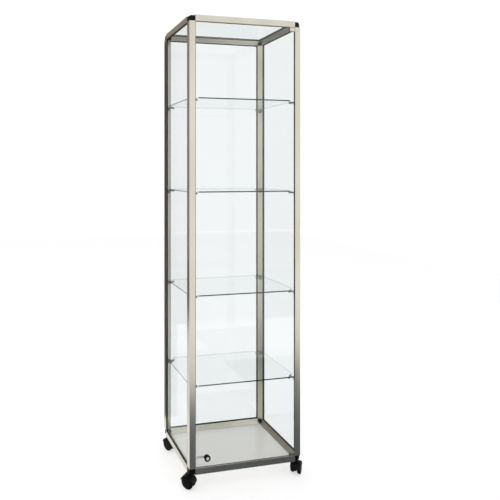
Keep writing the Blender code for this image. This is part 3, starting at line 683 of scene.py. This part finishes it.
def add_flags():
    """Dark glowing flags, seen only in reflections: painted reflections that give the metal its fall from
    light to dark at the foot.
    """
    # each with its centre, its two half sides and the tone of its painted reflection
    flags = [
        ("flag_low_front", (-0.2, -0.51, FLAG_LEVEL), (1.2, 0, 0), (0, 0.36, 0), "#4C515B"),
        ("flag_low_right", (0.74, -1.06, FLAG_LEVEL), (0.29, 0, 0), (0, 0.19, 0), "#444952"),
        ("flag_low_rear", (1.0, 4.2, FLAG_LEVEL), (3.8, 0, 0), (0, 2.5, 0), "#2C2925"),
        ("flag_wall_rear", (-2.1, 3.5, 3.0), (1.9, 0, 0), (0, 0, 3.0), "#8A8277"),
        # a thin black flag beside the rear left post: a painted dark stripe reflected down that post
        ("flag_near_rear_left", (-0.30, 0.26, 0.99), (0.045, 0.0, 0), (0, 0, 0.92), "#060605"),
    ]
    for name, centre, across, up, colour in flags:
        flag = add_sheet(name, centre, across, up, painted_reflection_flag(name + "_cloth", colour))
        flag.visible_camera = False
        flag.visible_diffuse = False
        flag.visible_shadow = False
        flag.visible_transmission = False


def add_light(context, settings):
    world = bpy.data.worlds.new("white_studio")
    world.use_nodes = True
    background = world.node_tree.nodes["Background"]
    background.inputs["Color"].default_value = (1, 1, 1, 1)
    background.inputs["Strength"].default_value = settings.sky
    context.scene.world = world
    light = bpy.data.lights.new("overhead_softbox", "AREA")
    light.shape = "RECTANGLE"
    light.size, light.size_y = SOFTBOX_SIDES
    light.energy = settings.softbox
    softbox = bpy.data.objects.new("overhead_softbox", light)
    softbox.location = SOFTBOX_PLACE
    softbox.rotation_euler = SOFTBOX_TILT
    softbox.visible_glossy = False
    context.scene.collection.objects.link(softbox)


def add_camera(context, focal_length):
    """The camera stands level at chest height, left of the case and turned a little to the right."""
    data = bpy.data.cameras.new("camera")
    data.sensor_width = SENSOR_WIDTH
    data.lens = focal_length
    data.shift_x, data.shift_y = CAMERA_SHIFT
    data.clip_start, data.clip_end = CAMERA_CLIP
    camera = bpy.data.objects.new("camera", data)
    camera.location = CAMERA_PLACE
    camera.rotation_euler = CAMERA_TURN
    context.scene.collection.objects.link(camera)
    context.scene.camera = camera


class DISPLAYCASE_OT_extrusions(bpy.types.Operator):
    """Finishes the posts and rails"""

    bl_idname = "display_case.extrusions"
    bl_label = "Posts and rails"

    def execute(self, context):
        colours = context.scene.case_colours
        for names, axis, label in ((X_RAILS, 0, "x"), (Y_RAILS, 1, "y"), (POSTS, 2, "z")):
            name = f"satin_anodised_aluminium_{label}"
            dress(names, satin_anodised_aluminium(name, axis, colours.aluminium, colours.aluminium_shade))
        return {"FINISHED"}


class DISPLAYCASE_OT_panes(bpy.types.Operator):
    """Finishes the panes, shelves and door leaf"""

    bl_idname = "display_case.panes"
    bl_label = "Glass"

    def execute(self, context):
        colours = context.scene.case_colours
        groups = (
            (["glass_left", "glass_right"], 0, "x"),
            (["glass_back", "door_glass"], 1, "y"),
            (["glass_top", *SHELVES], 2, "z"),
        )
        for names, axis, label in groups:
            dress(names, float_glass(f"float_glass_{label}", axis, colours.glass_tint, colours.painted_glass_edge))
        context.scene.cycles.transparent_max_bounces = CLEAR_FACES
        return {"FINISHED"}


class DISPLAYCASE_OT_base(bpy.types.Operator):
    """Finishes the base panel"""

    bl_idname = "display_case.base"
    bl_label = "Base panel"

    def execute(self, context):
        laminate = pressed_laminate("pressed_melamine_laminate", context.scene.case_colours.laminate)
        dress(["base_panel"], laminate)
        return {"FINISHED"}


class DISPLAYCASE_OT_seals(bpy.types.Operator):
    """Runs the glazing seals round the panes"""

    bl_idname = "display_case.seals"
    bl_label = "Glazing seals"

    def execute(self, context):
        sizes = context.scene.case_sizes
        rubber = extruded_rubber("extruded_epdm_rubber", context.scene.case_colours.seal)
        tree = seal_tree()
        for pane, across, up, outward in (
            ("glass_left", (0, 1, 0), (0, 0, 1), (-1, 0, 0)),
            ("glass_right", (0, 1, 0), (0, 0, 1), (1, 0, 0)),
            ("glass_back", (1, 0, 0), (0, 0, 1), (0, 1, 0)),
            ("glass_top", (1, 0, 0), (0, 1, 0), (0, 0, 1)),
        ):
            meshes = []
            for sign, thickness in ((1, sizes.outer_seal), (-1, sizes.inner_seal)):
                side = Vector(outward) * sign
                meshes.append(seal_run(tree, pane, across, up, side, sizes.seal_reach, thickness, rubber))
            add_piece(f"{pane}_seal", joined(f"{pane}_seal", meshes), rubber, "case")
        return {"FINISHED"}


def main_axis(direction):
    """0, 1 or 2 for a direction along X, Y or Z."""
    return max(range(3), key=lambda index: abs(direction[index]))


def opening_along(axis):
    """Low and high limit of the case's clear opening along an axis, between the posts or the rails."""
    if axis == 2:
        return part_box("rail_bottom_left")[1].z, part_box("rail_top_left")[0].z
    if axis == 1:
        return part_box("post_front_left")[1].y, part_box("post_rear_left")[0].y
    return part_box("post_front_left")[1].x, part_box("post_front_right")[0].x


def seal_run(tree, pane, across, up, side, reach, thickness, rubber):
    """The seal on one face of a pane: side points from the pane's middle to that face."""
    across, up = Vector(across), Vector(up)
    low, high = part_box(pane)
    normal_axis = main_axis(side)
    face = high[normal_axis] if side[normal_axis] > 0 else low[normal_axis]
    origin = Vector((0, 0, 0))
    origin[normal_axis] = face + side[normal_axis] * thickness / 2
    lengths = []
    for direction in (across, up):
        axis = main_axis(direction)
        start, stop = opening_along(axis)
        origin[axis] = (start + stop) / 2
        lengths.append(stop - start)
    sizes = {
        "Opening Width": lengths[0],
        "Opening Height": lengths[1],
        "Reach": reach,
        "Thickness": thickness,
    }
    return grown_mesh(f"{pane}_seal_run", tree, sizes, rubber, placed(across, up, across.cross(up), origin))


class DISPLAYCASE_OT_mouldings(bpy.types.Operator):
    """Finishes the corner joints and shelf clips"""

    bl_idname = "display_case.mouldings"
    bl_label = "Corner joints and clips"

    def execute(self, context):
        colours = context.scene.case_colours
        rounding = context.scene.case_sizes.edge_rounding
        abs_plastic = moulded_plastic(
            "moulded_black_abs", colours.moulding, roughness=0.42, grain=0.35, ior=1.54, specular=0.12
        )
        acetal = moulded_plastic(
            "moulded_translucent_acetal", colours.clip, roughness=0.30, grain=0.5, ior=1.48, specular=0.5
        )
        for node in CORNER_JOINTS:
            refined_copy(node, abs_plastic, rounding)
        for node in CLIPS:
            refined_copy(node, acetal, rounding)
        return {"FINISHED"}


class DISPLAYCASE_OT_door_fittings(bpy.types.Operator):
    """Finishes the hinges with their screws, and the lock"""

    bl_idname = "display_case.door_fittings"
    bl_label = "Hinges and lock"

    def execute(self, context):
        colours = context.scene.case_colours
        sizes = context.scene.case_sizes
        nickel = nickel_plate("polished_nickel_plate", colours.plating)
        gloss_black = moulded_plastic(
            "gloss_black_abs", colours.moulding, roughness=0.2, grain=0.6, ior=1.54, specular=0.2
        )
        screws = screw_row_tree()
        row = {
            "Diameter": sizes.screw_diameter,
            "Height": SCREW_HEIGHT,
            "Pitch": SCREW_PITCH,
            "Count": SCREWS_IN_ROW,
        }
        satin = satin_anodised_aluminium("satin_hinge_plate", 0, colours.aluminium, colours.aluminium_shade)
        for node in HINGES:
            refined_copy(node, satin, sizes.edge_rounding)
            low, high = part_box(node)
            level = low.z + SCREW_INSET if node.endswith("bottom") else high.z - SCREW_INSET
            origin = ((low.x + high.x) / 2, high.y, level)
            place = placed((1, 0, 0), (0, 0, -1), (0, 1, 0), origin)
            mesh = grown_mesh(f"{node}_screws", screws, row, nickel, place)
            add_piece(f"{node}_screws", mesh, nickel, "door")
        refined_copy("lock_body", gloss_black, sizes.edge_rounding)
        refined_copy("lock_nut", gloss_black, sizes.edge_rounding)
        zinc = satin_zinc("satin_plated_zinc", colours.plating)
        refined_copy("lock_plug", zinc, 0.0)
        refined_copy("lock_cam", zinc, CAM_ROUNDING)
        return {"FINISHED"}


class DISPLAYCASE_OT_castors(bpy.types.Operator):
    """Finishes the castors and ribs their wheels"""

    bl_idname = "display_case.castors"
    bl_label = "Castors"

    def execute(self, context):
        colours = context.scene.case_colours
        sizes = context.scene.case_sizes
        glass_filled = moulded_plastic(
            "moulded_black_nylon_fork", colours.moulding, roughness=0.4, grain=0.4, ior=1.53, specular=0.12
        )
        nylon = moulded_plastic(
            "moulded_black_nylon_wheel", colours.wheel, roughness=0.46, grain=0.5, ior=1.53, specular=0.1
        )
        ribs = rib_ring_tree()
        ring = {
            "Inner Radius": RIB_INNER_RADIUS,
            "Outer Radius": RIB_OUTER_RADIUS,
            "Rib Width": RIB_WIDTH,
            "Rib Height": RIB_HEIGHT,
            "Count": sizes.wheel_ribs,
        }
        upward = Vector((0, 0, 1))
        for corner in CORNERS:
            refined_copy(f"castor_{corner}_hood", glass_filled, sizes.edge_rounding)
            wheels = f"castor_{corner}_wheels"
            refined_copy(wheels, nylon, sizes.edge_rounding)
            low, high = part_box(wheels)
            centre = (low + high) / 2
            axle = Vector(JOINTS[f"castor_{corner}_roll"]["axis"]).normalized()
            meshes = []
            for offset in (-RIB_FACE_OFFSET, RIB_FACE_OFFSET):
                place = placed(axle.cross(upward), upward, axle, centre + axle * offset)
                meshes.append(grown_mesh(f"{wheels}_ribs", ribs, ring, nylon, place))
            both = joined(f"{wheels}_ribs", meshes)
            add_piece(f"{wheels}_ribs", both, nylon, f"wheels_{corner}")
        return {"FINISHED"}


class DISPLAYCASE_PT_sidebar(bpy.types.Panel):
    """Sizes, colours and steps of the display case"""

    bl_idname = "DISPLAYCASE_PT_sidebar"
    bl_label = "Display Case"
    bl_space_type = "VIEW_3D"
    bl_region_type = "UI"
    bl_category = "Display Case"

    def draw(self, context):
        layout = self.layout
        for group in (context.scene.case_colours, context.scene.case_sizes, context.scene.case_stage):
            box = layout.box()
            for name in group.bl_rna.properties.keys():
                if name not in ("rna_type", "name"):
                    box.prop(group, name)
        for operator in OPERATORS:
            layout.operator(operator.bl_idname)


OPERATORS = (
    DISPLAYCASE_OT_stage,
    DISPLAYCASE_OT_extrusions,
    DISPLAYCASE_OT_panes,
    DISPLAYCASE_OT_base,
    DISPLAYCASE_OT_seals,
    DISPLAYCASE_OT_mouldings,
    DISPLAYCASE_OT_door_fittings,
    DISPLAYCASE_OT_castors,
)
SETTINGS = (
    ("case_colours", CaseColours),
    ("case_sizes", CaseSizes),
    ("case_stage", StageSettings),
)


def register():
    for name, group in SETTINGS:
        bpy.utils.register_class(group)
        setattr(bpy.types.Scene, name, PointerProperty(type=group))
    for operator in OPERATORS:
        bpy.utils.register_class(operator)
    bpy.utils.register_class(DISPLAYCASE_PT_sidebar)


def unregister():
    bpy.utils.unregister_class(DISPLAYCASE_PT_sidebar)
    for operator in reversed(OPERATORS):
        bpy.utils.unregister_class(operator)
    for name, group in reversed(SETTINGS):
        delattr(bpy.types.Scene, name)
        bpy.utils.unregister_class(group)


def main():
    register()
    bpy.ops.display_case.stage()
    bpy.ops.display_case.extrusions()
    bpy.ops.display_case.panes()
    bpy.ops.display_case.base()
    bpy.ops.display_case.seals()
    bpy.ops.display_case.mouldings()
    bpy.ops.display_case.door_fittings()
    bpy.ops.display_case.castors()


if __name__ == "__main__":
    main()
